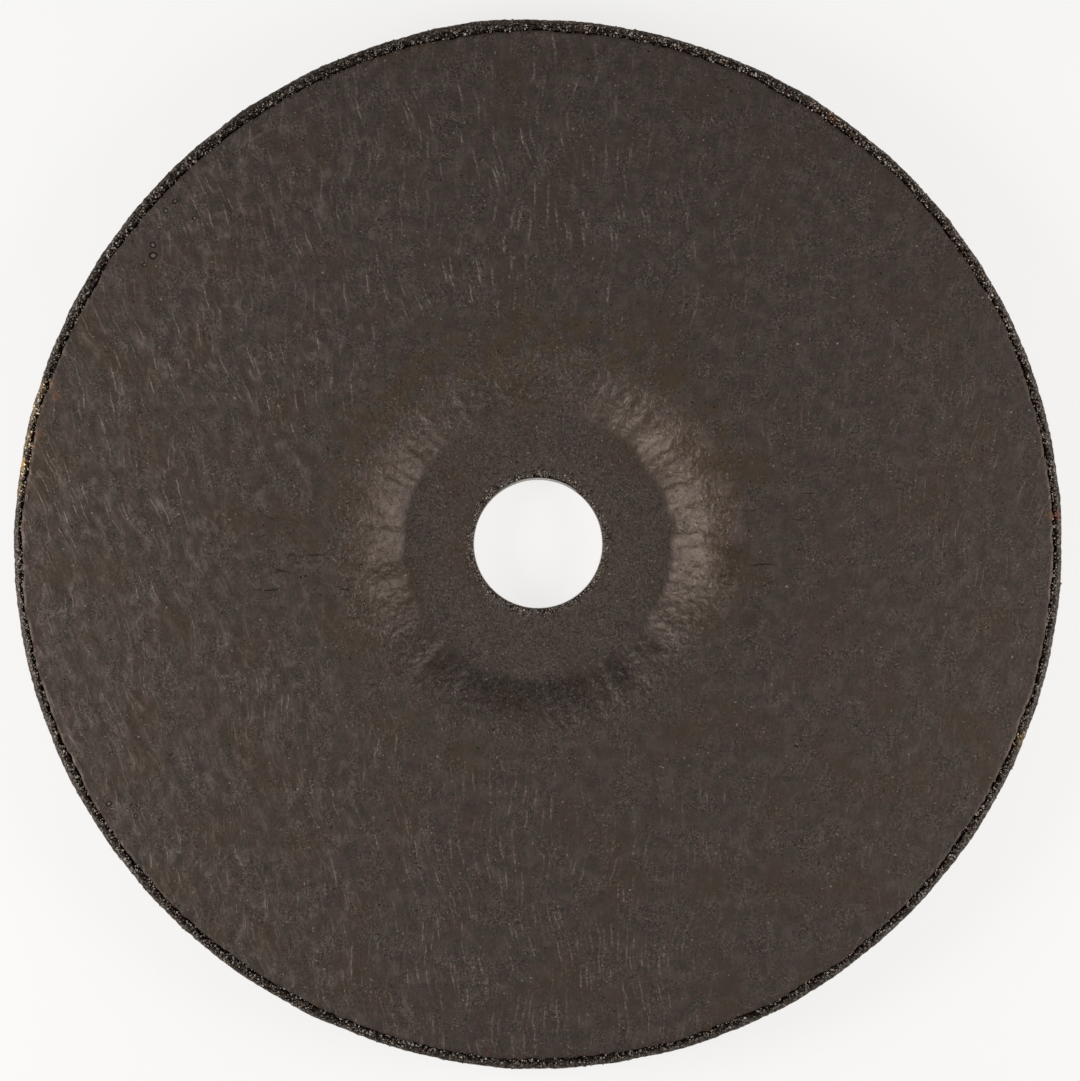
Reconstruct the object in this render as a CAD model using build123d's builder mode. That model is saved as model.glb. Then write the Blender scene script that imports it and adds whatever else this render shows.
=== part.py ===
from build123d import *
from math import radians, sqrt, tan
import os

# Grinding disc with a depressed centre, 180 x 6 x 22.23 mm. It has three pieces: the
# pressed body of bonded grit, the black facing sheet let into its working face, and the
# steel bush that lines the bore and is flanged over the hub's back. The disc lies with
# its recess up. The origin is on the bore's axis, at the hub's flat back face, and +Z
# points to the working side. Sizes are in millimetres.

# The pressed disc. Hub, dished slope and working ring have one wall thickness.
disc_diameter = 180.0
disc_thickness = 6.0  # facing sheet included
recess_depth = 4.6  # working face above the recess floor
recess_diameter = 47.0  # across the corner of the recess floor
slope_angle = 35.0  # of the dished wall, from flat
recess_corner_radius = 3.0  # bend from recess floor to slope, on the working side
shoulder_radius = 12.0  # bend from slope to working face, on the working side
front_edge_chamfer = 0.8  # broken edge of the rim, working side
back_edge_chamfer = 0.5  # broken edge of the rim, back

# The facing sheet, let in flush with the working face.
sheet_thickness = 0.3
rim_land = 1.75  # ring of bare grit outside the sheet's seat
sheet_edge_gap = 0.55  # crevice between the sheet's edge and that land
bare_collar = 0.5  # ring of bare grit between the moulded hole and the sheet

# The bush, pressed from steel sheet.
bore_diameter = 22.23
bush_wall = 0.5
bush_flange_diameter = 34.0
bush_mouth = 0.9  # width and height of the 45-degree lead-in at the back of the bore
bush_end_depth = 1.0  # barrel's end below the bare floor of the recess
hole_clearance = 0.28  # moulded hole outside the bore, so the grit clears the spindle

# Radii and heights that follow from those sizes.
disc_radius = disc_diameter / 2
seat_radius = disc_radius - rim_land
sheet_radius = seat_radius - sheet_edge_gap
bore_radius = bore_diameter / 2
hole_radius = bore_radius + hole_clearance
sheet_hole_radius = hole_radius + bare_collar
flange_radius = bush_flange_diameter / 2
bare_floor = disc_thickness - sheet_thickness
barrel_end = bare_floor - bush_end_depth
working_face = disc_thickness + recess_depth


def dished_line(height, inner_radius, outer_radius):
    """Draw the bent line of the wall, `height` above its back face, from hole to rim.

    Lines at all heights run parallel: each corner moves out, and each bend opens or
    tightens, by the distance below the working side.
    """
    below_front = disc_thickness - height
    hub_corner = recess_diameter / 2 + below_front * tan(radians(slope_angle / 2))
    shoulder_corner = hub_corner + recess_depth / tan(radians(slope_angle))
    return FilletPolyline(
        (inner_radius, height),
        (hub_corner, height),
        (shoulder_corner, height + recess_depth),
        (outer_radius, height + recess_depth),
        radius=[recess_corner_radius + below_front, shoulder_radius - below_front],
    )


def bush_line(depth_in_wall):
    """Draw the bent line of the bush, from its flange's edge to its barrel's end.

    The lead-in keeps the wall's thickness, so the line is narrower there inside the wall.
    """
    mouth = bush_mouth - depth_in_wall * (2 - sqrt(2))
    wall_radius = bore_radius + depth_in_wall
    return Polyline(
        (flange_radius, depth_in_wall),
        (wall_radius + mouth, depth_in_wall),
        (wall_radius, depth_in_wall + mouth),
        (wall_radius, barrel_end),
    )


# Body of bonded grit. Its half section goes along the back, up the rim, in along the
# floor of the sheet's seat, down the moulded hole and out along the seat of the bush.
with BuildPart() as abrasive_body:
    with BuildSketch(Plane.XZ):
        with BuildLine():
            back = dished_line(0, flange_radius, disc_radius)
            seat_floor = dished_line(bare_floor, hole_radius, seat_radius)
            bush_seat = bush_line(bush_wall)
            rim_top = (disc_radius, working_face)
            Polyline(back @ 1, rim_top, (seat_radius, working_face), seat_floor @ 1)
            Polyline(seat_floor @ 0, (hole_radius, barrel_end), bush_seat @ 1)
            Line(bush_seat @ 0, back @ 0)
        make_face()
    revolve(axis=Axis.Z)
    rim_edges = abrasive_body.edges().filter_by(GeomType.CIRCLE).group_by(SortBy.RADIUS)[-1]
    back_edge, front_edge = rim_edges.sort_by(Axis.Z)
    chamfer(back_edge, back_edge_chamfer)
    chamfer(front_edge, front_edge_chamfer)
abrasive_body.part.label = "abrasive_body"

# Facing sheet, bent with the wall and cut short of the rim and of the hole.
with BuildPart() as facing_sheet:
    with BuildSketch(Plane.XZ):
        with BuildLine():
            underside = dished_line(bare_floor, sheet_hole_radius, sheet_radius)
            topside = dished_line(disc_thickness, sheet_hole_radius, sheet_radius)
            Line(underside @ 0, topside @ 0)
            Line(underside @ 1, topside @ 1)
        make_face()
    revolve(axis=Axis.Z)
facing_sheet.part.label = "facing_sheet"

# Centre bush: a flange flush with the hub's back, bent up into the barrel of the bore.
with BuildPart() as centre_bush:
    with BuildSketch(Plane.XZ):
        with BuildLine():
            bore_side = bush_line(0)
            grit_side = bush_line(bush_wall)
            Line(bore_side @ 0, grit_side @ 0)
            Line(bore_side @ 1, grit_side @ 1)
        make_face()
    revolve(axis=Axis.Z)
centre_bush.part.label = "centre_bush"

os.makedirs("parts", exist_ok=True)
export_step(abrasive_body.part, "parts/abrasive_body.step")
export_step(facing_sheet.part, "parts/facing_sheet.step")
export_step(centre_bush.part, "parts/centre_bush.step")
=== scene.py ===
# %% [markdown]
# # A grinding disc, dressed for a photograph
# The disc lies with its recess up and is seen from straight above. The imported model gives
# three solids: the pressed body of grit, the paper that faces it, and the steel bush of its
# bore. This notebook builds detailed pieces over the grit and the paper, gives every piece
# a finish made of nodes, and lights the lot as a soft product photograph.
#
# The model is loaded first, because all places and sizes come from it.

# %% Load the imported model
import math

import bpy
import numpy as np
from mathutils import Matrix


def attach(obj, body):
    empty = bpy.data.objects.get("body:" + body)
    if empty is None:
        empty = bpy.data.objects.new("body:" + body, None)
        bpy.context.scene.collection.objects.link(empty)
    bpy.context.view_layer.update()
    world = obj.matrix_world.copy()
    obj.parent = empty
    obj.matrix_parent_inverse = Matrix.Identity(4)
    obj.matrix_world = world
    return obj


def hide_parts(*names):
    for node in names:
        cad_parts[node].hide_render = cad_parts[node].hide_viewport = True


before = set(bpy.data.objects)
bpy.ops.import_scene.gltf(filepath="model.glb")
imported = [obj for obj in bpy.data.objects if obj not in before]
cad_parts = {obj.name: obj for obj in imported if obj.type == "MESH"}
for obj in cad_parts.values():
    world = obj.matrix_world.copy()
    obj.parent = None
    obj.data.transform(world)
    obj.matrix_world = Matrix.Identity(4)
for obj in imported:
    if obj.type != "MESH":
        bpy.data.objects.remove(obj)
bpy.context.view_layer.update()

mm = 0.001
print("nodes:", sorted(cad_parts))


def add_object(name, data):
    made = bpy.data.objects.new(name, data)
    bpy.context.scene.collection.objects.link(made)
    return made


def add_mesh(name, points, faces):
    mesh = bpy.data.meshes.new(name)
    mesh.from_pydata(points, [], faces)
    return add_object(name, mesh)

# %% [markdown]
# ## The camera
# The photograph looks straight down from far away, so the disc's rim is a circle and hardly
# any of the bore's wall shows. A long lens high above the middle gives the same view. The
# distance and the lens follow from each other: at the rim's top edge, 90 mm of radius have
# to cover 523.7 of the picture's 1080 pixels. The disc sits a little left of the middle and
# below it, so the camera moves right and up by those few pixels.

# %% Set up the camera
picture_width = 1080
rim_pixels = 523.74
disc_radius = 90 * mm
rim_edge_height = 9.8 * mm
camera_distance = 760 * mm
sensor_width = 36
pixel = disc_radius / rim_pixels
moved_right, moved_up = 1.95 * pixel, 3.5 * pixel

view = bpy.data.cameras.new("overhead_view")
view.sensor_fit = "HORIZONTAL"
view.sensor_width = sensor_width
view.lens = sensor_width * (rim_pixels / picture_width) * camera_distance / disc_radius
camera = add_object("overhead_camera", view)
camera.location = (moved_right, moved_up, rim_edge_height + camera_distance)
bpy.context.scene.camera = camera
print(f"lens {view.lens:.1f} mm at {camera_distance / mm:.0f} mm, {mm / pixel:.2f} pixels for each mm")

# %% [markdown]
# ## Calculating with nodes
# Every finish below is a tree of nodes. Written out in full, each node takes several lines,
# which hides what the tree does. So an output of a node is wrapped as a Value, on which
# Python's own signs work: a * b + 1 adds the two Math nodes and joins them. A Value knows
# its tree, so a function of places and masks needs nothing but those.

# %% Write nodes as sums
class Value:
    """An output of a node that Python's own signs can calculate with."""

    def __init__(self, socket):
        self.socket, self.tree = socket, socket.id_data

    def __add__(self, other):
        return math_node("ADD", self, other)

    def __sub__(self, other):
        return math_node("SUBTRACT", self, other)

    def __rsub__(self, other):
        return math_node("SUBTRACT", other, self)

    def __mul__(self, other):
        return math_node("MULTIPLY", self, other)

    def __abs__(self):
        return math_node("ABSOLUTE", self)


def set_input(socket, value):
    """Give an input a number, or a link from a Value."""
    if isinstance(value, Value):
        value.tree.links.new(value.socket, socket)
    else:
        socket.default_value = value


def add_node(tree, kind, inputs=(), **settings):
    """Add a node, set its settings, then fill its inputs."""
    made = tree.nodes.new(kind)
    for name, value in settings.items():
        setattr(made, name, value)
    for key, value in dict(inputs).items():
        set_input(made.inputs[key], value)
    return made


def output_of(tree, kind, inputs=(), output=0, **settings):
    """Add a node for one of its outputs."""
    return Value(add_node(tree, kind, inputs, **settings).outputs[output])


def bare_tree(owner):
    """Empty the node tree of a material or a world."""
    owner.use_nodes = True
    owner.node_tree.nodes.clear()
    return owner.node_tree


def tree_of(*values):
    return next(value.tree for value in values if isinstance(value, Value))


def math_node(operation, *values, **settings):
    settings["operation"] = operation
    return output_of(tree_of(*values), "ShaderNodeMath", enumerate(values), **settings)


def most(first, *others):
    """The highest of some values."""
    for other in others:
        first = math_node("MAXIMUM", first, other)
    return first


def vector_math(operation, *values, **inputs):
    """Calculate with places; a length comes out as a number."""
    inputs.update(enumerate(values))
    output = "Value" if operation == "LENGTH" else "Vector"
    return output_of(tree_of(*values), "ShaderNodeVectorMath", inputs, output, operation=operation)


def axes_of(place):
    """The x, y and z of a place."""
    return [Value(axis) for axis in add_node(place.tree, "ShaderNodeSeparateXYZ", {0: place}).outputs]


def joined(*axes):
    """A place from its x, y and z; those left out are 0."""
    return output_of(axes[0].tree, "ShaderNodeCombineXYZ", enumerate(axes))


def step_up(value, start, end, low=0.0, high=1.0):
    """Rise smoothly from low to high while value goes from start to end."""
    inputs = enumerate((value, start, end, low, high))
    return output_of(value.tree, "ShaderNodeMapRange", inputs, interpolation_type="SMOOTHSTEP")


def band(value, start, full, fading, end):
    """1 from full to fading, and 0 before start and after end."""
    return step_up(value, start, full) * step_up(value, end, fading)

# %% [markdown]
# ## Floor and light
# The disc stands out dark against an almost white ground. The ground's white is its own
# colour: rays from the camera, and rays that were mirrored or let through, also meet a glow
# there, so no lamp has to burn it white. The rest of the floor's light is diffuse, and keeps
# the faint shadow at the lower right.

# %% Lay the floor
warm_white = (1.0, 0.99, 0.975, 1)


def pale_floor():
    surface = bpy.data.materials.new("pale_floor")
    tree = bare_tree(surface)
    ray = add_node(tree, "ShaderNodeLightPath").outputs
    seen = most(*[Value(ray[f"Is {kind} Ray"]) for kind in ("Camera", "Glossy", "Transmission")])
    diffuse = output_of(tree, "ShaderNodeBsdfDiffuse", {"Color": step_up(seen, 0, 1, 0.75, 0.15)})
    light = {"Color": warm_white, "Strength": step_up(seen, 0, 1, 0.0, 0.795)}
    glow = output_of(tree, "ShaderNodeEmission", light)
    both = output_of(tree, "ShaderNodeAddShader", {0: diffuse, 1: glow})
    add_node(tree, "ShaderNodeOutputMaterial", {0: both})
    return surface


floor_half = 12.0
floor_height = -0.00005
quarters = ((-1, -1), (1, -1), (1, 1), (-1, 1))
corners = [(x * floor_half, y * floor_half, floor_height) for x, y in quarters]
floor = add_mesh("floor", corners, [(0, 1, 2, 3)])
floor.data.materials.append(pale_floor())
print("floor at z =", floor_height, "m")

# %% [markdown]
# The photograph's two bright patches sit on opposite sides of the recess, where the slope
# faces left and right. Its creases show as near-upright lines. Both come from two soft
# lamps, low on the left and on the right, a little towards the viewer's lower edge. The left
# one is stronger. They stand near enough that the disc's sides are lighter than its middle.
# The paper's finish adds a painted highlight to the patches and the creases as well.

# %% Light it from two sides
def soft_lamp(name, azimuth, elevation, distance, power, size):
    """Stand a square lamp round the disc, in degrees and metres, aimed at its middle."""
    light = bpy.data.lights.new(name, "AREA")
    light.shape, light.size, light.energy = "SQUARE", size, power
    lamp = add_object(name, light)
    turn, rise = math.radians(azimuth), math.radians(elevation)
    away = distance * math.cos(rise)
    lamp.location = (away * math.cos(turn), away * math.sin(turn), distance * math.sin(rise))
    lamp.rotation_euler = (-lamp.location).to_track_quat("-Z", "Y").to_euler()
    lamp.visible_camera = False


soft_lamp("left_lamp", 188, 31, 0.42, 1.58, 0.20)
soft_lamp("right_lamp", 350, 31, 0.42, 1.22, 0.20)

world = bpy.data.worlds.new("pale_room")
bpy.context.scene.world = world
tree = bare_tree(world)
seen = output_of(tree, "ShaderNodeLightPath", output="Is Camera Ray")
room_light = {"Color": warm_white, "Strength": step_up(seen, 0, 1, 0.16, 0.79)}
add_node(tree, "ShaderNodeOutputWorld", {0: output_of(tree, "ShaderNodeBackground", room_light)})
bpy.context.scene.view_settings.view_transform = "Standard"
print("2 lamps and a pale room")

# %% [markdown]
# ## One mesh builder for round pieces
# Paper and body are turned shapes with fine relief on them. Blender's Screw modifier would
# make the same number of points at every radius: long thin faces at the rim, crowded ones at
# the bore. Here each ring of the profile gets as many points as its length asks for, and
# neighbouring rings are sewn together edge by edge, in the order of their angles. All
# faces come out nearly equilateral, so small relief looks alike all over.

# %% Spin a profile into rings and sew them
def spin(profile):
    """Turn a closed profile of (radius, height, spacing) in mm into radii, angles, heights and faces."""
    radii, angles, heights, faces, middles, starts = [], [], [], [], [], []
    first = 0
    for index, (radius, height, spacing) in enumerate(profile):
        count = max(24, round(2 * math.pi * radius / spacing))
        turn = (np.arange(count) + 0.5 * (index % 2)) / count
        radii.append(np.full(count, radius))
        heights.append(np.full(count, height))
        angles.append(turn * 2 * math.pi)
        middles.append(turn + 0.5 / count)
        starts.append(first)
        first += count
    for here in range(len(profile)):
        there = (here + 1) % len(profile)
        a, b = middles[here], middles[there]
        near, far = np.arange(len(a)), np.arange(len(b))
        opposite = np.searchsorted(b, a, side="left") % len(b)
        apart = starts[there] - starts[here]
        faces.append(np.c_[near, opposite + apart, (near + 1) % len(a)] + starts[here])
        opposite = np.searchsorted(a, b, side="right") % len(a)
        faces.append(np.c_[far, (far + 1) % len(b), opposite - apart] + starts[there])
    return np.concatenate(radii), np.concatenate(angles), np.concatenate(heights), np.concatenate(faces)


def turned_piece(name, radii, angles, heights, faces):
    """Make the object from the spun rings, in metres, smooth all over."""
    points = np.c_[radii * np.cos(angles), radii * np.sin(angles), heights] * mm
    piece = add_mesh(name, points.tolist(), faces.tolist())
    piece.data.shade_smooth()
    print(name, len(points), "points,", len(faces), "faces")
    return piece

# %% [markdown]
# The wall of the disc is one bent line: flat hub, slope of 35 degrees, wide shoulder, flat
# working ring. The sheet and the body both follow it, at their own heights in the wall, as
# they do in the solids.

# %% Trace the dished line of the wall
slope = math.radians(35)
wall_thickness, recess_depth = 6.0, 4.6
recess_radius, recess_bend, shoulder_radius = 23.5, 3.0, 12.0


def dished_line(height, inner, outer, spacing):
    """Points (radius, height) in mm along the wall, `height` above its back, evenly spaced."""
    below_front = wall_thickness - height
    hub_corner = recess_radius + below_front * math.tan(slope / 2)
    shoulder_corner = hub_corner + recess_depth / math.tan(slope)
    hub_bend, shoulder_bend = recess_bend + below_front, shoulder_radius - below_front
    points = [(inner, height)]
    for tilt in np.linspace(0, slope, 12):
        reach = hub_corner - hub_bend * math.tan(slope / 2)
        points.append((reach + hub_bend * math.sin(tilt), height + hub_bend * (1 - math.cos(tilt))))
    for tilt in np.linspace(slope, 0, 24):
        reach = shoulder_corner + shoulder_bend * math.tan(slope / 2)
        drop = shoulder_bend * (1 - math.cos(tilt))
        points.append((reach - shoulder_bend * math.sin(tilt), height + recess_depth - drop))
    points.append((outer, height + recess_depth))
    points = np.array(points)
    along = np.r_[0, np.cumsum(np.hypot(*np.diff(points, axis=0).T))]
    even = np.linspace(0, along[-1], max(2, round(along[-1] / spacing) + 1))
    return np.c_[np.interp(even, along, points[:, 0]), np.interp(even, along, points[:, 1])]


sheet_inner, sheet_outer, sheet_spacing = 11.45, 87.95, 0.51
face_line = dished_line(wall_thickness, sheet_inner, sheet_outer, sheet_spacing)
on_wall = (face_line[:, 1] > 6.05) & (face_line[:, 1] < 10.55)
print("working face:", len(face_line), "rings, slope from", face_line[on_wall][[0, -1], 0].round(1), "mm")

# %% [markdown]
# ## Relief
# The paper was crumpled while the press was hot: it has soft scales on the left, thin creases
# that run nearly upright and fan out towards the top, and pleats where it is drawn down into
# the recess. Sculpting that by hand would be slow, and it would not reach the colours.
# Instead one function writes the nodes of the relief into any tree. A Geometry Nodes tree
# moves the points with it, and the material reads the same nodes to paint a highlight on
# what stands out and to darken the cracks.
#
# All of it is built from few kinds of node. A noise makes soft clouds. Stretching the place
# that it reads makes them long, and pushing that place about makes them wander.

# %% Coordinates that stretch, wander and fan out
def spread(place, across, along):
    """Stretch a place (mm) so that one unit is across mm wide and along mm long."""
    return vector_math("MULTIPLY", place, (1 / across, 1 / along, 1 / along))


def cloud(place, size, detail=0.0, roughness=0.5, flat=True, output="Fac"):
    """Soft noise whose lattice is size mm wide."""
    inputs = {"Vector": place, "Scale": 1 / size, "Detail": detail, "Roughness": roughness}
    dimensions = "2D" if flat else "3D"
    return output_of(place.tree, "ShaderNodeTexNoise", inputs, output, noise_dimensions=dimensions)


def swirls(place, size):
    """Directions that change in swirls of size mm, from -0.5 to 0.5 on each axis."""
    return vector_math("SUBTRACT", cloud(place, size, output="Color"), (0.5, 0.5, 0.5))


def pushed(place, swirl, amount):
    """Push a place about by up to amount mm, along swirls that are there already."""
    return vector_math("MULTIPLY_ADD", swirl, (2 * amount, 2 * amount, 2 * amount), place)


def shifted(place, size, amount):
    """Push a place about by up to amount mm, in swirls of size mm."""
    return pushed(place, swirls(place, size), amount)


def swayed(place):
    """Shift a place sideways by two slow sines, so that long lines sway. It is cheaper than noise."""
    x, y, _ = axes_of(place)
    broad = math_node("SINE", y * 0.19 + x * 0.09)
    brisk = math_node("SINE", y * 0.37 + x * -0.16)
    return vector_math("ADD", place, joined(broad * 0.9 + brisk * 0.4))


def fan(place):
    """Coordinates across and along the creases, which fan out from a point far below the disc."""
    point_x, point_depth = 12.0, 260.0
    x, y, _ = axes_of(place)
    x, y = x - point_x, y + point_depth
    return joined(math_node("ARCTAN2", x, y) * point_depth, math_node("SQRT", x * x + y * y))


def polar(place):
    """Radius in mm, and the place as (arc length on the slope, radius)."""
    slope_radius = 28.0
    x, y, _ = axes_of(place)
    radius = vector_math("LENGTH", joined(x, y))
    return radius, joined(math_node("ARCTAN2", y, x) * slope_radius, radius)

# %% [markdown]
# A fold is the line in a soft noise where it crosses its middle value. Creases and cracks are
# separate strokes, so each gets a cell of its own: a Voronoi texture with stretched cells
# gives the middle of the nearest one, and the distance from it, squeezed to a long ellipse,
# draws the stroke. White noise read at that middle is the stroke's luck, which leaves most
# of them faint and a few strong. Nodes cost time for each ray, so one swirl of noise serves
# every place that is pushed about.

# %% Folds, strokes and spots
def ridge(noise, width):
    """1 on the line where the noise is one half, falling to 0 at width to each side."""
    return step_up(abs(noise - 0.5), width, 0.0)


def luck_of(middle, dimensions="3D", **inputs):
    """A random number from 0 to 1 that belongs to a place."""
    inputs["Vector"] = middle
    return output_of(middle.tree, "ShaderNodeTexWhiteNoise", inputs, "Value", noise_dimensions=dimensions)


def scattered(place, cell, longer=1.0):
    """One spot in each cell of cell mm: its middle, the distance from it, and its luck from 0 to 1."""
    inputs = {"Vector": spread(place, cell, cell * longer), "Scale": 1.0}
    cells = add_node(place.tree, "ShaderNodeTexVoronoi", inputs, voronoi_dimensions="2D").outputs
    middle = Value(cells["Position"])
    return middle, Value(cells["Distance"]), luck_of(middle, "2D")


def dashes(place, across, along, half_width, half_length, chance):
    """Short separate strokes, one in each stretched cell: thin, tapered, most of them faint."""
    middle, _, luck = scattered(place, across, along / across)
    offset = vector_math("SUBTRACT", spread(place, across, along), middle)
    offset = vector_math("MULTIPLY", offset, (across / half_width, along / half_length, 0))
    return step_up(vector_math("LENGTH", offset), 1.0, 0.1) * step_up(luck, 1 - chance, 1 - chance * 0.3)


def specks(place, cell, size, chance):
    """Round specks of about size mm. That share of the cells holds a light one, and as many a dark one."""
    _, distance, luck = scattered(place, cell)
    dot = step_up(distance, size / 2 / cell, size / 8 / cell)
    return dot * step_up(luck, 1 - chance, 1.0), dot * step_up(luck, chance, 0.0)

# %% [markdown]
# The photograph shows where the paper crumpled most. The left half is scaly and the right
# one calm, patches without creases lie between creased ones, and the ground beside the
# recess is smooth apart from a few dark cracks that point at it.

# %% Write the folds of the paper
def paper_folds(place):
    """Write the relief of the facing paper. Returns heights and masks, by name."""
    radius, round_place = polar(place)
    axes = x, y, _ = axes_of(place)
    swirl = swirls(place, 2.2)
    fanned = fan(pushed(swayed(place), swirl, 0.22))

    left = step_up(x, 10.0, -58.0)
    right = step_up(x, -2.0, 42.0)
    beside = step_up(radius, 33.0, 44.0, 0.2, 1.0)
    patches = step_up(cloud(place, 13.0), 0.32, 0.6, 0.55, 1.0)
    crumple = (left * 0.98 + 0.42) * patches * beside
    sideways = abs(y)
    unrest = most(step_up(sideways, 9.0, 24.0, 0.25, 1.0), step_up(radius, 46.0, 66.0))
    drawn = (left * -0.32 + 0.82) * step_up(y, -25.0, 20.0, 0.66, 1.0)
    creased = (right * -0.62 + 1.0) * drawn * patches * beside * unrest

    waves = cloud(spread(fanned, 1.0, 1.9), 2.4, 1.5, 0.55) - 0.5
    folds = ridge(cloud(spread(fanned, 1.0, 2.6), 1.5, 0.8), 0.08)
    folds = folds * step_up(cloud(place, 2.6), 0.45, 0.62)
    long_lines = dashes(fanned, 1.7, 5.4, 0.22, 3.6, 0.9)
    short_lines = dashes(fanned, 1.0, 3.4, 0.18, 1.7, 0.6)
    worn = step_up(cloud(place, 0.6), 0.32, 0.6, 0.35, 1.0)

    on_slope = band(radius, 22.5, 25.5, 31.5, 38.0)
    puckered = pushed(shifted(round_place, 7.0, 1.6), swirl, 0.25)
    pleats = cloud(spread(puckered, 1.5, 3.6), 1.0, 1.0, 0.5)
    lumps = cloud(pushed(place, swirl, 0.8), 1.3, 2.0, 0.62)
    facing_sides = step_up(sideways, 26.0, 8.0, 0.25, 1.0)
    cracks = dashes(pushed(round_place, swirl, 0.35), 1.7, 7.0, 0.11, 3.0, 0.55)
    near_recess = band(radius, 26.0, 29.0, 44.0, 64.0)
    return {
        "radius": radius, "axes": axes, "swirl": swirl, "on_slope": on_slope,
        "crumple": crumple, "creased": creased, "waves": waves, "folds": folds,
        "raised_lines": worn * long_lines,
        "short_lines": worn * short_lines * 0.55,
        "cracks": cracks * near_recess * facing_sides * step_up(worn, 0.35, 1.0, 0.3, 0.8),
        "pleats": (pleats - 0.5) * 0.8 + (lumps - 0.5) * 0.9,
    }

# %% Move the points of a piece by such a relief
def emboss(piece, relief):
    """Move the points of a piece along their normals by relief(place, normal), in mm."""
    tree = bpy.data.node_groups.new(piece.name + "_relief", "GeometryNodeTree")
    for direction in ("INPUT", "OUTPUT"):
        tree.interface.new_socket("Geometry", in_out=direction, socket_type="NodeSocketGeometry")
    place = vector_math("SCALE", output_of(tree, "GeometryNodeInputPosition"), Scale=1 / mm)
    normal = output_of(tree, "GeometryNodeInputNormal")
    offset = vector_math("SCALE", normal, Scale=relief(place, normal) * mm)
    source = output_of(tree, "NodeGroupInput")
    moved = output_of(tree, "GeometryNodeSetPosition", {"Geometry": source, "Offset": offset})
    add_node(tree, "NodeGroupOutput", {0: moved})
    modifier = piece.modifiers.new("relief", "NODES")
    modifier.node_group = tree
    before = np.array([v.co for v in piece.data.vertices])
    shaped = piece.evaluated_get(bpy.context.evaluated_depsgraph_get())
    piece.data = bpy.data.meshes.new_from_object(shaped)
    piece.modifiers.clear()
    after = np.array([v.co for v in piece.data.vertices])
    print(piece.name, "moved by up to", round(float(np.abs(after - before).max()) / mm, 3), "mm")

# %% [markdown]
# ## The facing sheet
# The sheet is a black-brown paper, 0.3 mm thick, that ends a little short of the rim in a
# wandering line and is torn round the bore. It could be the solid with a bump map, but its
# edges would stay perfect circles. Spun rings every half millimetre carry the scales and
# pleats, and the outermost and innermost rings follow the wandering edges.
#
# Both edges were read off the photograph: the outer one at every 30 degrees, and at the bore
# the stretch from 55 to 150 degrees where the paper lies back and bares the bush's end.

# %% Measure the edges of the sheet
sheet_edge_knots = [88.25, 87.95, 87.65, 87.9, 87.65, 87.75, 88.45, 88.0, 87.75, 88.2, 88.1, 88.05]
rng = np.random.default_rng(7)


def wander(angles, waves, size):
    """A closed line that strays by about size, with the given numbers of waves round the disc."""
    line = sum(np.sin(n * angles + rng.uniform(0, 2 * math.pi)) * rng.uniform(0.4, 1) for n in waves)
    return line * size / math.sqrt(0.3 * len(waves))


def at_angle(line, angles):
    return np.interp(angles % (2 * math.pi), edge_angles, line)


edge_angles = np.linspace(0, 2 * math.pi, 4097)
knots = np.array(sheet_edge_knots + sheet_edge_knots[:1])
sheet_edge = np.interp(edge_angles, np.linspace(0, 2 * math.pi, 13), knots)
sheet_edge += 0.13
sheet_edge += wander(edge_angles, range(9, 60, 3), 0.10) + wander(edge_angles, range(70, 400, 17), 0.08)
bites = wander(edge_angles, range(5, 40), 0.20) + wander(edge_angles, range(41, 160, 6), 0.20)
laid_back = np.interp(edge_angles, np.radians([0, 53, 58, 70, 150, 360]), [0, 0, 0.46, 0.50, 0, 0])
sheet_hole = 11.20 + np.clip(bites, 0, 0.7) + laid_back
print("sheet edge", round(sheet_edge.min(), 2), "to", round(sheet_edge.max(), 2),
      "mm, torn hole", round(sheet_hole.min(), 2), "to", round(sheet_hole.max(), 2), "mm")

# %% Build the sheet
top_side = [(r, z, sheet_spacing if r > 13 else 0.25) for r, z in face_line]
edge_side = [(88.02, 10.54, 0.5), (87.98, 10.36, 0.6)]
under_side = [(r, z, 3.0) for r, z in dished_line(5.7, 11.55, 87.8, 3.0)[::-1]]
hole_side = [(11.42, 5.78, 0.25), (11.40, 5.92, 0.25)]
radii, angles, heights, faces = spin(top_side + edge_side + under_side + hole_side)
slope_stray = wander(edge_angles, range(2, 30), 0.25) + wander(edge_angles, range(31, 90, 3), 0.09)
on_slope = np.clip((radii - 20.5) / 2, 0, 1) * np.clip((40 - radii) / 8, 0, 1)
radii += on_slope * at_angle(slope_stray, angles)
radii += np.clip((radii - 80.0) / 7.9, 0, 1) ** 2 * (at_angle(sheet_edge, angles) - sheet_outer)
radii += np.clip((14.0 - radii) / 2.5, 0, 1) * (at_angle(sheet_hole, angles) - sheet_inner)
facing = turned_piece("facing_paper", radii, angles, heights, faces)


def sheet_relief(place, normal):
    paper = paper_folds(place)
    top = step_up(axes_of(normal)[2], 0.3, 0.6)
    crumpled = paper["crumple"] * (paper["waves"] * 0.4 + paper["folds"] * 0.03)
    pleated = paper["pleats"] * paper["on_slope"] * 0.23
    return (crumpled + pleated) * top


emboss(facing, sheet_relief)
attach(facing, "root")
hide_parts("facing_sheet")

# %% [markdown]
# ## Colours by nodes
# A material here starts from the place in millimetres, so that every size in it can be read
# off a ruler. An effect that several finishes need is a shader node group with named
# sockets. It is built once, and each material sets its own values on it.

# %% Helpers for groups, mixes and materials
def by_name(outputs):
    return {socket.name: Value(socket) for socket in outputs if socket.name}


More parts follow.
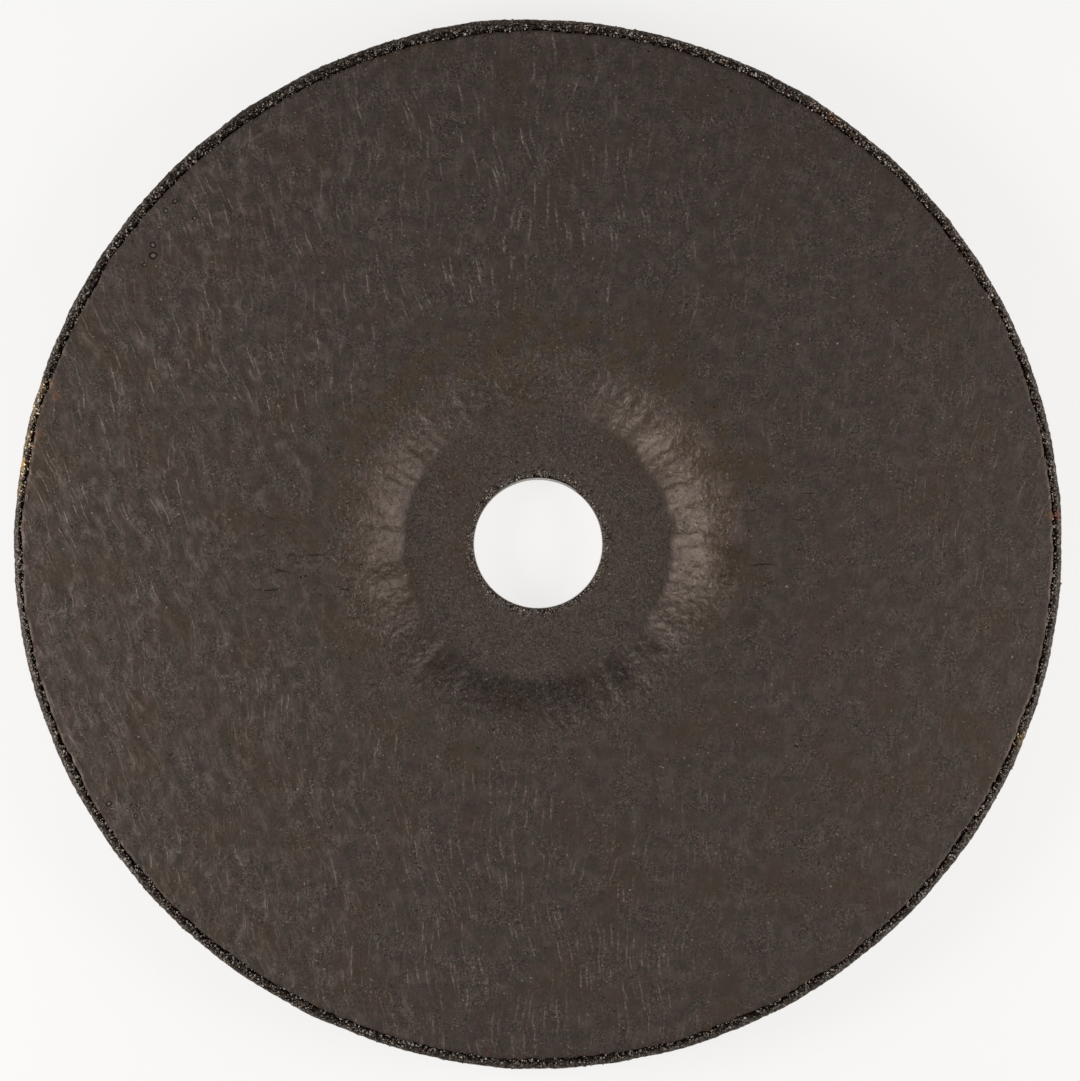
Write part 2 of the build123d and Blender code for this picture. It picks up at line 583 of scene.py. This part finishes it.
def new_group(name, inputs, outputs):
    """Start a shader node group with named sockets; returns its tree, its inputs and its output node."""
    tree = bpy.data.node_groups.new(name, "ShaderNodeTree")
    kinds = {"vector": "NodeSocketVector", "colour": "NodeSocketColor"}
    for direction, sockets in (("INPUT", inputs), ("OUTPUT", outputs)):
        for label, value in sockets.items():
            kind = kinds.get(value, "NodeSocketFloat")
            socket = tree.interface.new_socket(label, in_out=direction, socket_type=kind)
            if not isinstance(value, str):
                socket.default_value = value
    return tree, by_name(add_node(tree, "NodeGroupInput").outputs), tree.nodes.new("NodeGroupOutput")


def use_group(group, **values):
    """Set the inputs of a group, with underscores for the spaces in their names; returns its outputs."""
    inputs = {label.replace("_", " "): value for label, value in values.items()}
    return by_name(add_node(tree_of(*values.values()), "ShaderNodeGroup", inputs, node_tree=group).outputs)


def tint(mask, first, second, **settings):
    """Mix two colours by a mask."""
    made = add_node(tree_of(mask, first, second), "ShaderNodeMix", {0: mask}, data_type="RGBA", **settings)
    for index, shade in ((6, first), (7, second)):
        set_input(made.inputs[index], shade if isinstance(shade, Value) else (*shade, 1))
    return Value(made.outputs[2])


def layered(colour, *layers):
    """Lay colours over a first one, each through its mask."""
    for mask, shade in layers:
        colour = tint(mask, colour, shade)
    return colour


def new_material(name):
    """A bare Principled material, and the place in mm that its nodes start from."""
    material = bpy.data.materials.new(name)
    tree = bare_tree(material)
    surface = tree.nodes.new("ShaderNodeBsdfPrincipled")
    add_node(tree, "ShaderNodeOutputMaterial", {0: Value(surface.outputs[0])})
    position = output_of(tree, "ShaderNodeTexCoord", output="Object")
    return material, surface, vector_math("SCALE", position, Scale=1 / mm)


def finish(surface, colour, height, roughness, **settings):
    """Join colour, bump height (mm) and roughness to the shader, and set its other sockets."""
    normal = output_of(height.tree, "ShaderNodeBump", {"Height": height, "Distance": mm, "Strength": 1.0})
    inputs = {"Base Color": colour, "Normal": normal, "Roughness": roughness, **settings}
    for label, value in inputs.items():
        set_input(surface.inputs[label.replace("_", " ")], value)


def dress(piece, material):
    """Give a piece its one material."""
    piece.data.materials.clear()
    piece.data.materials.append(material)
    print(piece.name, "has the finish", material.name, "of", len(material.node_tree.nodes), "nodes")

# %% [markdown]
# Crushed grit is the effect that most pieces share: bare on the rim and the back, as crumbs
# on the paper, and as facets on the loose grains. Cells of a Voronoi texture are the grains.
# Their luck picks black, brown-grey, light or nearly white ones, and the seams between them
# are dark resin.

# %% Build the grit group
def grit_group():
    inputs = {"Place": "vector", "Grain size": 0.4, "Light grains": 0.25, "Bright grains": 0.05}
    outputs = {"Color": "colour", "Height": "float", "Gap": "float"}
    tree, given, sink = new_group("crushed grit", inputs, outputs)
    size = given["Grain size"]
    scaled = vector_math("DIVIDE", given["Place"], joined(size, size, size))
    cells = add_node(tree, "ShaderNodeTexVoronoi", {"Vector": scaled, "Scale": 1.0}).outputs
    middle, distance = Value(cells["Position"]), Value(cells["Distance"])
    luck, shade = luck_of(middle), luck_of(middle, "4D", W=3.0)
    gap = step_up(distance, 0.35, 0.72)
    colour = layered(
        tint(step_up(shade, 0.25, 0.6), (0.004, 0.003, 0.0024), (0.084, 0.065, 0.053)),
        (math_node("LESS_THAN", luck, given["Light grains"]), (0.2, 0.172, 0.146)),
        (math_node("LESS_THAN", luck, given["Bright grains"]), (0.44, 0.4, 0.34)),
        (gap, (0.004, 0.003, 0.0025)),
    )
    for label, value in (("Color", colour), ("Height", 1.0 - distance), ("Gap", gap)):
        set_input(sink.inputs[label], value)
    return tree


grit = grit_group()
print("group:", grit.name, [item.name for item in grit.interface.items_tree])

# %% [markdown]
# ## Finish of the paper
# Resin has soaked into the paper and dulled it to a black-brown sheen. A flat colour with one
# bump would look like plastic. The photograph has at least five layers: soft mottling in two
# hues, a fibrous grain, creases, brown stains round the recess, and specks of grit that broke
# through. Each is a mask, mixed into the colour over the one before. Light is painted in as
# well: a painted highlight along the creases, for the lamp light their flanks catch, and on
# the slope where it faces the lamps. Only the long creases, the grain and the rough slope
# also feed the bump.
#
# A few marks catch the eye in the photograph, such as single cracks and small blisters. They
# are spots and strokes at measured places. Each blister is colour only: a painted shade in a
# ring round a painted highlight, with nothing in the bump. Cracks and dark specks have to stay
# dark where a lamp glances off the paper, so they are made metallic: a metal mirrors only in
# its own colour, and theirs is nearly black.

# %% Mark single spots that the photograph shows
def away_from(place, marks):
    """Distance to the nearest mark: x, y, width and, if it isn't round, height in mm. 1 is its edge."""
    nearest = None
    for x, y, *size in marks:
        away = vector_math("SUBTRACT", place, (x, y, 0))
        away = vector_math("LENGTH", vector_math("MULTIPLY", away, (2 / size[0], 2 / size[-1], 0)))
        nearest = math_node("MINIMUM", nearest, away) if nearest else away
    return nearest


def spots(place, marks):
    """Soft spots at those marks, as one mask."""
    return step_up(away_from(place, marks), 1.0, 0.25)


single_cracks = [(-37.9, -1.9, 6.0, 0.34), (-46.2, -7.9, 7.5, 0.36), (-44.0, -4.8, 4.5, 0.3),
                 (-33.2, -7.9, 2.5, 0.4), (38.5, -3.6, 6.5, 0.34), (46.5, 8.6, 3.2, 0.3)]
torn_places = [(7.0, 10.4, 5.0), (9.9, 7.8, 3.5), (-9.3, 8.2, 4.5), (-12.0, -1.5, 3.0), (-10.0, -7.5, 5.0),
               (-4.5, -11.8, 4.5), (3.5, -12.3, 4.0), (9.5, -8.2, 4.5), (12.4, 1.0, 3.5)]
blisters = [(-62.4, 58.8, 1.2), (-63.9, 57.4, 1.0), (-59.2, 55.8, 0.9), (-66.2, 51.4, 1.1),
            (-67.6, 48.0, 0.9), (-65.9, 49.5, 1.5), (-73.5, -44.6, 1.1), (-69.2, -46.6, 0.8),
            (-8.6, 38.1, 0.8), (-6.5, 33.3, 0.7), (-30.4, -3.6, 0.7), (-29.9, -10.0, 0.7)]
slope_dark_spots = [(34.0, -1.5, 6), (33.6, -4.5, 5), (36, -13, 5)]
rust_marks = [(-83.9, 27.5, 3.2), (-82.8, 25.4, 2.2), (-86.2, 18.9, 2.6), (-86.7, 16.9, 2.2), (87.9, 5, 2)]
print(len(single_cracks), "cracks,", len(torn_places), "torn places,", len(blisters), "blisters")

# %% Mix the paper's finish
pitch_black = (0.007, 0.0055, 0.0045)


def paper_material():
    material, surface, place = new_material("facing_paper")
    paper = paper_folds(place)
    radius, swirl, on_slope = paper["radius"], paper["swirl"], paper["on_slope"]
    x, y, _ = paper["axes"]
    grain = cloud(place, 0.3, 1.0, 0.5)
    pebble = cloud(place, 0.7)
    fibre = cloud(spread(place, 1.0, 1.4), 1.3)
    mottle = cloud(pushed(place, swirl, 1.0), 2.6, 1.5, 0.6)
    patch = cloud(place, 4.4, 1.0)
    hub = step_up(radius, 25.0, 22.0)
    # Where the slope faces the two lamps, most on the right, which faces the stronger left lamp. It masks
    # the painted highlight on the slope, and the grain gets more contrast there too.
    lit_sides = step_up(abs(x * -0.12 + y - 4.0), 27.0, 8.0) * step_up(x, -20.0, 20.0, 0.72, 1.0)
    rough_slope = on_slope * step_up(lit_sides, 0.0, 0.8, 0.35, 1.35)
    coarse = most(step_up(patch, 0.36, 0.62, 0.28, 0.88), hub * 0.92, rough_slope)

    # Black-brown ground in two hues, mottled light and dark, with a finer pebble and grain.
    hue = cloud(place, 1.6, 1.0, 0.6)
    colour = layered(
        tint(step_up(hue, 0.4, 0.62), (0.0374, 0.024, 0.0225), (0.0277, 0.0257, 0.018)),
        (hub * 0.07 + step_up(radius, 17.0, 13.0) * 0.06, (0.105, 0.082, 0.066)),
        (step_up(mottle, 0.48, 0.72, 0.0, 0.54), (0.064, 0.051, 0.043)),
        (step_up(mottle, 0.5, 0.28, 0.0, 0.54), (0.0125, 0.0098, 0.0083)),
        (coarse * step_up(pebble, 0.5, 0.8, 0.0, 0.4), (0.08, 0.063, 0.053)),
        (coarse * step_up(pebble, 0.46, 0.2, 0.0, 0.4), (0.009, 0.007, 0.006)),
        (coarse * step_up(grain, 0.52, 0.78, 0.0, 0.8), (0.09, 0.071, 0.06)),
        (coarse * step_up(grain, 0.48, 0.24, 0.0, 0.85), pitch_black),
    )

    # The slope: a painted highlight where it faces the lamps, reaching farther out on the right, browner
    # in blotches, with fine light wisps that are painted lighter where it is lit.
    blotch = cloud(pushed(place, swirl, 0.8), 3.0, 1.0, 0.6)
    ragged = blotch * 4.0 + radius + step_up(x, -20.0, 20.0, 0.8, -1.4)
    lit_slope = step_up(radius, 22.2, 25.0) * step_up(ragged, 36.8, 33.6) * lit_sides
    inner_slope_highlight = step_up(radius, 23.6, 25.8) * step_up(ragged, 30.5, 27.5) * lit_sides
    brown = band(radius, 24.0, 29.0, 34.0, 37.0) * lit_sides * step_up(blotch, 0.44, 0.6)
    wisps = dashes(pushed(place, swirl, 0.9), 0.8, 1.3, 0.14, 0.6, 0.9)
    colour = layered(
        colour,
        (lit_slope * step_up(mottle, 0.25, 0.6, 0.45, 1.0) * 0.78, (0.083, 0.058, 0.045)),
        (inner_slope_highlight * 0.36, (0.135, 0.103, 0.084)),
        (brown * 0.58, (0.04, 0.0225, 0.0135)),
        (wisps * on_slope * (lit_sides * 0.6 + 0.4) * 0.72, (0.23, 0.19, 0.155)),
    )

    # Stains: brown here and there, olive and rust round the recess, mostly above it, rust at the edge.
    round_recess = band(radius, 26.0, 31.0, 36.0, 45.0) * step_up(y, 5.0, 28.0, 0.35, 1.0)
    edge = step_up(fibre * 2.4 + radius, 88.4, 89.6) * step_up(patch, 0.4, 0.62, 0.15, 1.0)
    colour = layered(
        colour,
        (step_up(cloud(place, 9.0), 0.55, 0.7, 0.0, 0.36), (0.034, 0.021, 0.01)),
        (round_recess * step_up(blotch, 0.5, 0.66, 0.0, 0.62), (0.04, 0.026, 0.01)),
        # Darker brown spots just outside the right slope.
        (spots(place, slope_dark_spots) * 0.55, (0.012, 0.0065, 0.004)),
        (edge * 0.6, (0.034, 0.013, 0.008)),
        (spots(place, rust_marks) * 0.6, (0.105, 0.042, 0.018)),
    )

    # Painted highlight along the creases and folds, for the lamp light that their flanks catch. The cracks
    # are drawn dark.
    raised = paper["raised_lines"] * paper["creased"]
    lines = most(raised, paper["short_lines"] * paper["creased"])
    crease_highlights = paper["folds"] * paper["crumple"] * 0.42 + lines
    cracks = most(paper["cracks"], spots(pushed(place, swirl, 0.25), single_cracks))

    # Crumbs of grit: fine ones in flocks, single ones all over. The edge at the bore is frayed and brown.
    flock = most(step_up(patch, 0.46, 0.66, 0.12, 1.0), hub, on_slope)
    nearby = pushed(place, swirl, 0.6)
    fine_light, fine_dark = specks(nearby, 0.44, 0.28, 0.33)
    single_light, single_dark = specks(nearby, 2.0, 0.36, 0.33)
    dark = most(fine_dark * flock * 0.9, single_dark)
    frayed = step_up(fibre * 4.0 + radius - spots(place, torn_places), 13.9, 12.6)
    crumbs = use_group(grit, Place=place, Grain_size=0.3, Light_grains=0.26, Bright_grains=0.1)
    blister = away_from(pushed(place, swirl, 0.35), blisters)
    colour = layered(
        colour,
        # Painted highlight along the creases.
        (math_node("MULTIPLY", crease_highlights, 0.58, use_clamp=True), (0.13, 0.109, 0.095)),
        (math_node("MULTIPLY", cracks, 0.55, use_clamp=True), (0.01, 0.0075, 0.006)),
        (most(fine_light * flock * 0.65, single_light), (0.2, 0.172, 0.142)),
        (dark, pitch_black),
        (frayed * 0.9, tint(0.4, crumbs["Color"], (0.06, 0.033, 0.017))),
        # Painted shade in a ring, and a painted highlight in the middle of each blister.
        (step_up(blister, 1.1, 0.7, 0.0, 0.75), (0.008, 0.006, 0.005)),
        (step_up(blister, 0.65, 0.25, 0.0, 0.9), (0.22, 0.185, 0.155)),
    )

    # The bump costs three times what a colour does: its slope is worked out from two more places.
    rough = cloud(pushed(place, swirl, 0.3), 1.3, 1.0, 0.55)
    detail = on_slope * 0.02 + hub * 0.03 + 0.04
    height = raised * 0.13 + grain * (on_slope * 0.03 + 0.025) + pebble * detail + rough * on_slope * 0.2
    roughness = step_up(mottle, 0.3, 0.7, 0.57, 0.49)
    pits = most(dark, cracks, frayed * 0.6, step_up(blister, 1.1, 0.7)) * 0.85
    finish(surface, colour, height, roughness, Metallic=pits, IOR=1.5, Specular_IOR_Level=0.6,
           Specular_Tint=(1.0, 0.8, 0.68, 1))
    return material


dress(facing, paper_material())

# %% [markdown]
# ## The body of grit
# The body shows only as a coarse ring outside the sheet, as the wall of the rim, as the torn
# collar in the bore and on the back. Its outline isn't a perfect circle on the photograph:
# it strays by a few tenths of a millimetre, with one flat stretch at the top. The numbers
# below are those deviations in pixels. Under the sheet the body keeps out of the way.

# %% Measure the outline
outline_knots = {
    0: 0.0, 20: 0.1, 45: -0.75, 70: -0.8, 88: 0.2, 97: 2.6, 106: 0.4, 120: 0.45, 140: -0.1, 160: -0.8,
    190: 0.55, 215: -0.4, 250: -0.95, 268: 1.6, 280: 0.2, 290: 0.85, 320: 0.0, 335: 0.4, 360: 0.0,
}
strays = np.interp(edge_angles, np.radians(list(outline_knots)), list(outline_knots.values()))
run_out = 0.05 + pixel / mm * strays
run_out += wander(edge_angles, range(15, 70, 3), 0.04) + wander(edge_angles, range(75, 420, 17), 0.03)
crevice_wall = wander(edge_angles, range(20, 90, 3), 0.16) + wander(edge_angles, range(91, 300, 9), 0.10)
crevice_wall = np.clip(crevice_wall, -0.15, 0.5)
print("rim radius", round(90 + run_out.min(), 2), "to", round(90 + run_out.max(), 2), "mm")

# %% Build the body
seat_rings = [(r, z - (0.2 if 20 < r < 40 else 0.02), 3.0) for r, z in dished_line(5.7, 12.6, 87.0, 3.0)]
land_line = [(88.1, 9.8), (88.28, 9.85), (88.4, 10.12), (88.6, 10.28), (88.9, 10.36), (89.15, 10.34),
             (89.4, 10.27), (89.62, 10.1), (89.83, 9.86), (89.96, 9.58)]
land_rings = [(87.95, 10.16, 0.4)] + [(r, z, 0.3) for r, z in land_line]
wall_rings = [(90.0, z, 0.36) for z in np.linspace(9.25, 5.1, 13)]
back_edge = [(89.9, 4.85, 0.4), (89.7, 4.67, 0.5)]
back_rings = [(r, z, 0.85) for r, z in dished_line(0.0, 17.05, 89.3, 0.85)[::-1]]
bush_rings = [(17.0, 0.1, 1.0), (17.0, 0.48, 1.0), (12.4, 0.52, 1.0),
              (11.63, 1.2, 0.8), (11.63, 4.68, 0.8), (11.45, 4.72, 0.3)]
hole_line = [(11.32, 4.95), (11.24, 5.2), (11.21, 5.4), (11.27, 5.56), (11.42, 5.68), (11.65, 5.74)]
hole_rings = [(r, z, 0.25) for r, z in hole_line] + [(11.9, 5.74, 0.3), (12.2, 5.69, 0.5)]
outside = seat_rings + land_rings + wall_rings + back_edge + back_rings
radii, angles, heights, faces = spin(outside + bush_rings + hole_rings)

on_front = heights > 9
by_sheet = np.clip((radii - 87.0) / 0.9, 0, 1) * np.clip((89.3 - radii) / 0.9, 0, 1) * on_front
radii += by_sheet * (at_angle(sheet_edge, angles) - 88.0)
in_crevice = np.interp(radii, [88.15, 88.3, 88.9, 89.3], [0, 1, 0.5, 0]) * on_front
radii += in_crevice * at_angle(crevice_wall, angles)
radii += np.clip((radii - 88.6) / 1.2, 0, 1) * at_angle(run_out, angles)
radii += np.clip((12.4 - radii) / 0.8, 0, 1) * (heights > 4.9) * at_angle(laid_back, angles)
body = turned_piece("grit_body", radii, angles, heights, faces)


def body_relief(place, normal):
    radius, _ = polar(place)
    z = axes_of(place)[2]
    outer = step_up(radius, 87.6, 88.3, 0.0, 0.6) * step_up(radius, 89.2, 89.7, 1.0, 0.55)
    collar = step_up(radius, 12.6, 12.1) * step_up(z, 4.9, 5.3, 0.0, 0.4)
    lumps = cloud(place, 1.1, 1.0, flat=False) - 0.5
    grains = cloud(place, 0.45, 0.5, flat=False) - 0.5
    return (lumps * 0.55 + grains * 0.4) * (outer + collar)


emboss(body, body_relief)
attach(body, "root")
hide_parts("abrasive_body")

# %% [markdown]
# The bare grit is the shared group at its natural size. The back of such a disc also shows
# the print of the glass mesh that is pressed in under the resin: bundles of thread, five
# millimetres apart, in two directions. Two sine bands, one across and one along, raise
# the bump and lighten the colour there. Where the photograph shows a tan, rusty or olive
# stretch of the rim, a soft spot tints it.

# %% Mix the grit's finish
warm_mirror = (1.0, 0.84, 0.7, 1)
rim_marks = {
    (1.42, 1.38, 1.35): [(50.0, 78.0, 190.0)],
    (3.0, 2.75, 2.15): [(-85.6, 26.4, 5), (-86.6, 22.6, 5.5), (-87.6, 18.0, 5.5), (-88.6, 13.2, 5.5),
                        (-89.0, 9.4, 4)],
    (2.0, 1.75, 1.15): [(82.9, -33.7, 4), (-88.6, 14.0, 3)],
    (1.7, 1.25, 1.0): [(51.0, 73.6, 3.5)],
    (2.2, 1.15, 0.95): [(88.9, 5.0, 2.6)],
}


def rim_tint(place, colour):
    """Lighten the grains near each mark, on the land alone; the dark pores between them stay dark."""
    on_land = step_up(axes_of(place)[2], 8.9, 9.7)
    for shade, marks in rim_marks.items():
        colour = tint(spots(place, marks) * on_land, colour, shade, blend_type="MULTIPLY")
    return colour


def crevice_shade_and_dark_collar(radius, colour):
    """Darken the grit to red-brown in the crevice outside the sheet, as painted shade there, and round the
    hole.
    """
    crevice = band(radius, 87.0, 87.6, 88.9, 89.6)
    collar = band(radius, 11.0, 11.1, 12.3, 12.8)
    return tint(most(crevice, collar) * 0.82, colour, (0.012, 0.006, 0.004))


def mesh_print(place):
    """Bands in both directions, on the back only."""
    mesh_size = 5.0
    x, y, _ = axes_of(shifted(place, 20.0, 0.5))
    bands = [math_node("SINE", axis * (2 * math.pi / mesh_size)) for axis in (x, y)]
    below = step_up(axes_of(place)[2], 4.9, 4.6)
    normal = output_of(place.tree, "ShaderNodeNewGeometry", output="Normal")
    down = step_up(axes_of(normal)[2], -0.2, -0.6)
    return step_up(most(*bands), 0.1, 0.9) * down * below


def grit_material():
    material, surface, place = new_material("bonded_grit")
    grain = use_group(grit, Place=place, Grain_size=0.4, Light_grains=0.22, Bright_grains=0.03)
    threads = mesh_print(place)
    radius, _ = polar(place)
    # Painted highlight: the rounded outer edge of the rim is lightened for the light it catches.
    bevel_highlight = step_up(radius, 89.15, 89.5)
    colour = tint(bevel_highlight * 0.5, grain["Color"], (0.08, 0.067, 0.058))
    colour = rim_tint(place, crevice_shade_and_dark_collar(radius, colour))
    colour = tint(threads * 0.35, colour, (0.055, 0.047, 0.037))
    height = grain["Height"] * 0.1 + threads * 0.16
    roughness = step_up(grain["Gap"], 0.0, 1.0, 0.5, 0.65)
    finish(surface, colour, height, roughness, Metallic=grain["Gap"] * 0.85, Specular_IOR_Level=0.35,
           Specular_Tint=warm_mirror)
    return material


dress(body, grit_material())

# %% [markdown]
# ## Loose grains
# A bump can't break the outline, and on the photograph single grains stand out against the
# white ground and in the crevice. So real ones are strewn there. One blank, an icosahedron,
# is squeezed, turned and knocked about for each grain. They are kept as two meshes, which is
# lighter for Blender than thousands of objects.

# %% Make a grain blank
corner = (1 + math.sqrt(5)) / 2
ico_points = np.array([(a * 1.0, b * corner, 0.0) for a in (-1, 1) for b in (-1, 1)])
ico_points = np.concatenate([ico_points, ico_points[:, [2, 0, 1]], ico_points[:, [1, 2, 0]]])
ico_points /= math.hypot(1, corner)


def outward(f):
    """Order a face's corners so that it looks away from the middle."""
    a, b, c = ico_points[list(f)]
    return f if np.dot(np.cross(b - a, c - a), a) > 0 else (f[0], f[2], f[1])


near = np.linalg.norm(ico_points[:, None] - ico_points[None], axis=2) < 1.1
ico_faces = [outward((i, j, k)) for i in range(12) for j in range(i + 1, 12) for k in range(j + 1, 12)
             if near[i, j] and near[j, k] and near[i, k]]
print("grain blank:", len(ico_points), "points,", len(ico_faces), "faces")


def crushed_grains(name, centres, sizes):
    """Strew angular grains at the given centres and sizes, in mm."""
    count = len(centres)
    shapes = ico_points[None] * rng.uniform(0.55, 1.15, (count, 1, 3))
    shapes *= 1 + rng.normal(0, 0.12, (count, 12, 1))
    quats = rng.normal(size=(count, 4))
    quats /= np.linalg.norm(quats, axis=1, keepdims=True)
    axis, w = quats[:, None, 1:], quats[:, :1, None]
    twice = 2 * np.cross(axis, shapes)
    turned = shapes + w * twice + np.cross(axis, twice)
    points = turned * sizes[:, None, None] / 2 + centres[:, None]
    faces = np.array(ico_faces)[None] + 12 * np.arange(count)[:, None, None]
    piece = add_mesh(name, (points.reshape(-1, 3) * mm).tolist(), faces.reshape(-1, 3).tolist())
    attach(piece, "root")
    print(name, count, "grains,", len(piece.data.polygons), "faces")
    return piece


def round_centres(angle, radius, height):
    return np.c_[radius * np.cos(angle), radius * np.sin(angle), height]

# %% Strew the grains on the land, the wall and the torn hole
tried_count, pore_count, wall_count, hole_count = 11000, 330, 4200, 1300
angle = rng.uniform(0, 2 * math.pi, tried_count)
gap = 0.06 + wander(edge_angles, range(3, 40), 0.12) + wander(edge_angles, range(41, 120, 5), 0.08)
gap = np.clip(gap, -0.12, 0.35)
inside, outside = at_angle(sheet_edge + gap, angle), 90 + at_angle(run_out, angle) - 0.2
radius = inside + (outside - inside) * rng.uniform(0, 1, tried_count) ** 1.15

pore_angle = rng.uniform(0, 2 * math.pi, pore_count)
pore_radius = at_angle(sheet_edge, pore_angle) + np.abs(rng.normal(0.15, 0.40, pore_count))
half_wide, half_long = rng.uniform(0.16, 0.42, pore_count), rng.uniform(0.20, 0.75, pore_count)
around = np.angle(np.exp(1j * (angle[:, None] - pore_angle))) * 89
apart = np.hypot((radius[:, None] - pore_radius) / half_wide, around / half_long).min(axis=1)
kept = np.flatnonzero(apart > rng.uniform(0.75, 1.1, tried_count))[:9900]
angle, radius = angle[kept], radius[kept]
print(tried_count - len(kept), "grains fell into", pore_count, "pores")

height = np.interp(radius, [88.3, 88.9, 89.4, 89.9], [10.28, 10.42, 10.28, 9.78])
height += rng.uniform(-0.16, 0.08, len(kept))
sizes = np.clip(rng.lognormal(math.log(0.27), 0.32, len(kept)), 0.15, 0.6)
sizes *= np.interp(radius, [89.0, 89.6], [1.0, 0.8])
land_grains = crushed_grains("land_grains", round_centres(angle, radius, height), sizes)

angle = np.r_[rng.uniform(0, 2 * math.pi, wall_count), rng.uniform(0, 2 * math.pi, hole_count)]
wall_radius = 89.90 + at_angle(run_out, angle[:wall_count]) - rng.uniform(0.0, 0.10, wall_count)
hole_radius = at_angle(sheet_hole, angle[wall_count:]) + 0.08 + np.abs(rng.normal(0, 0.50, hole_count))
height = np.r_[rng.uniform(4.9, 9.7, wall_count), rng.uniform(5.96, 6.04, hole_count)]
sizes = np.clip(rng.lognormal(math.log(0.34), 0.30, wall_count + hole_count), 0.18, 0.65)
sizes[wall_count:] *= 0.65
centres = round_centres(angle, np.r_[wall_radius, hole_radius], height)
edge_grains = crushed_grains("edge_grains", centres, sizes)

# %% [markdown]
# Every grain is one island of its mesh, so Random Per Island gives each its own colour. The
# shared grit group, at a far finer size, breaks up its facets.

# %% Mix the grains' finish
def grain_material():
    material, surface, place = new_material("loose_grains")
    luck = output_of(place.tree, "ShaderNodeNewGeometry", output="Random Per Island")
    facets = use_group(grit, Place=place, Grain_size=0.14, Light_grains=0.3, Bright_grains=0.04)
    colour = layered(
        tint(step_up(luck, 0.25, 0.42), (0.004, 0.003, 0.0025), (0.172, 0.141, 0.121)),
        (step_up(luck, 0.56, 0.76), (0.37, 0.324, 0.28)),
        (step_up(luck, 0.9, 0.97), (0.62, 0.57, 0.49)),
        (0.3, facets["Color"]),
    )
    colour = rim_tint(place, colour)
    radius, _ = polar(place)
    # The darker a grain, the more it takes this red-brown darkening, which in the crevice is painted
    # shade.
    colour = tint(step_up(luck, 0.0, 0.6), crevice_shade_and_dark_collar(radius, colour), colour)
    height = facets["Height"] * 0.03
    black = step_up(luck, 0.2, 0.45, 0.85, 0.0)
    finish(surface, colour, height, 0.55, Metallic=black, Specular_IOR_Level=0.35,
           Specular_Tint=warm_mirror)
    return material


grain_finish = grain_material()
for grains in (land_grains, edge_grains):
    dress(grains, grain_finish)

# %% [markdown]
# ## The bush
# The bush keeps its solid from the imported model: a clean pressing has no relief of its own.
# It is steel with a dull, spotty zinc coat. From above only the end of its barrel shows, as
# a pale crescent where the paper lies back; from behind its flange does. Drawing the sheet
# through the press leaves fine rings round the axis, which a stretched noise in polar
# coordinates gives, and handling leaves dull grey blooms.

# %% Mix the bush's finish
def steel_material():
    material, surface, place = new_material("bush_steel")
    radius, round_place = polar(place)
    z = axes_of(place)[2]
    along = joined(radius + z, axes_of(round_place)[0])
    rings = cloud(spread(along, 0.12, 6.0), 1.0, 2.0, 0.6)
    bloom = cloud(place, 2.4, 3.0, 0.6, flat=False)
    _, dirt = specks(place, 0.9, 0.4, 0.35)
    colour = layered(
        tint(step_up(bloom, 0.4, 0.66), (0.7, 0.65, 0.62), (0.46, 0.43, 0.41)),
        (step_up(rings, 0.45, 0.75, 0.0, 0.4), (0.8, 0.76, 0.73)),
        (dirt * 0.7, (0.06, 0.05, 0.042)),
    )
    roughness = step_up(bloom, 0.35, 0.7, 0.42, 0.6)
    finish(surface, colour, rings * 0.012 + bloom * 0.03, roughness, Metallic=0.35)
    return material


dress(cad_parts["centre_bush"], steel_material())
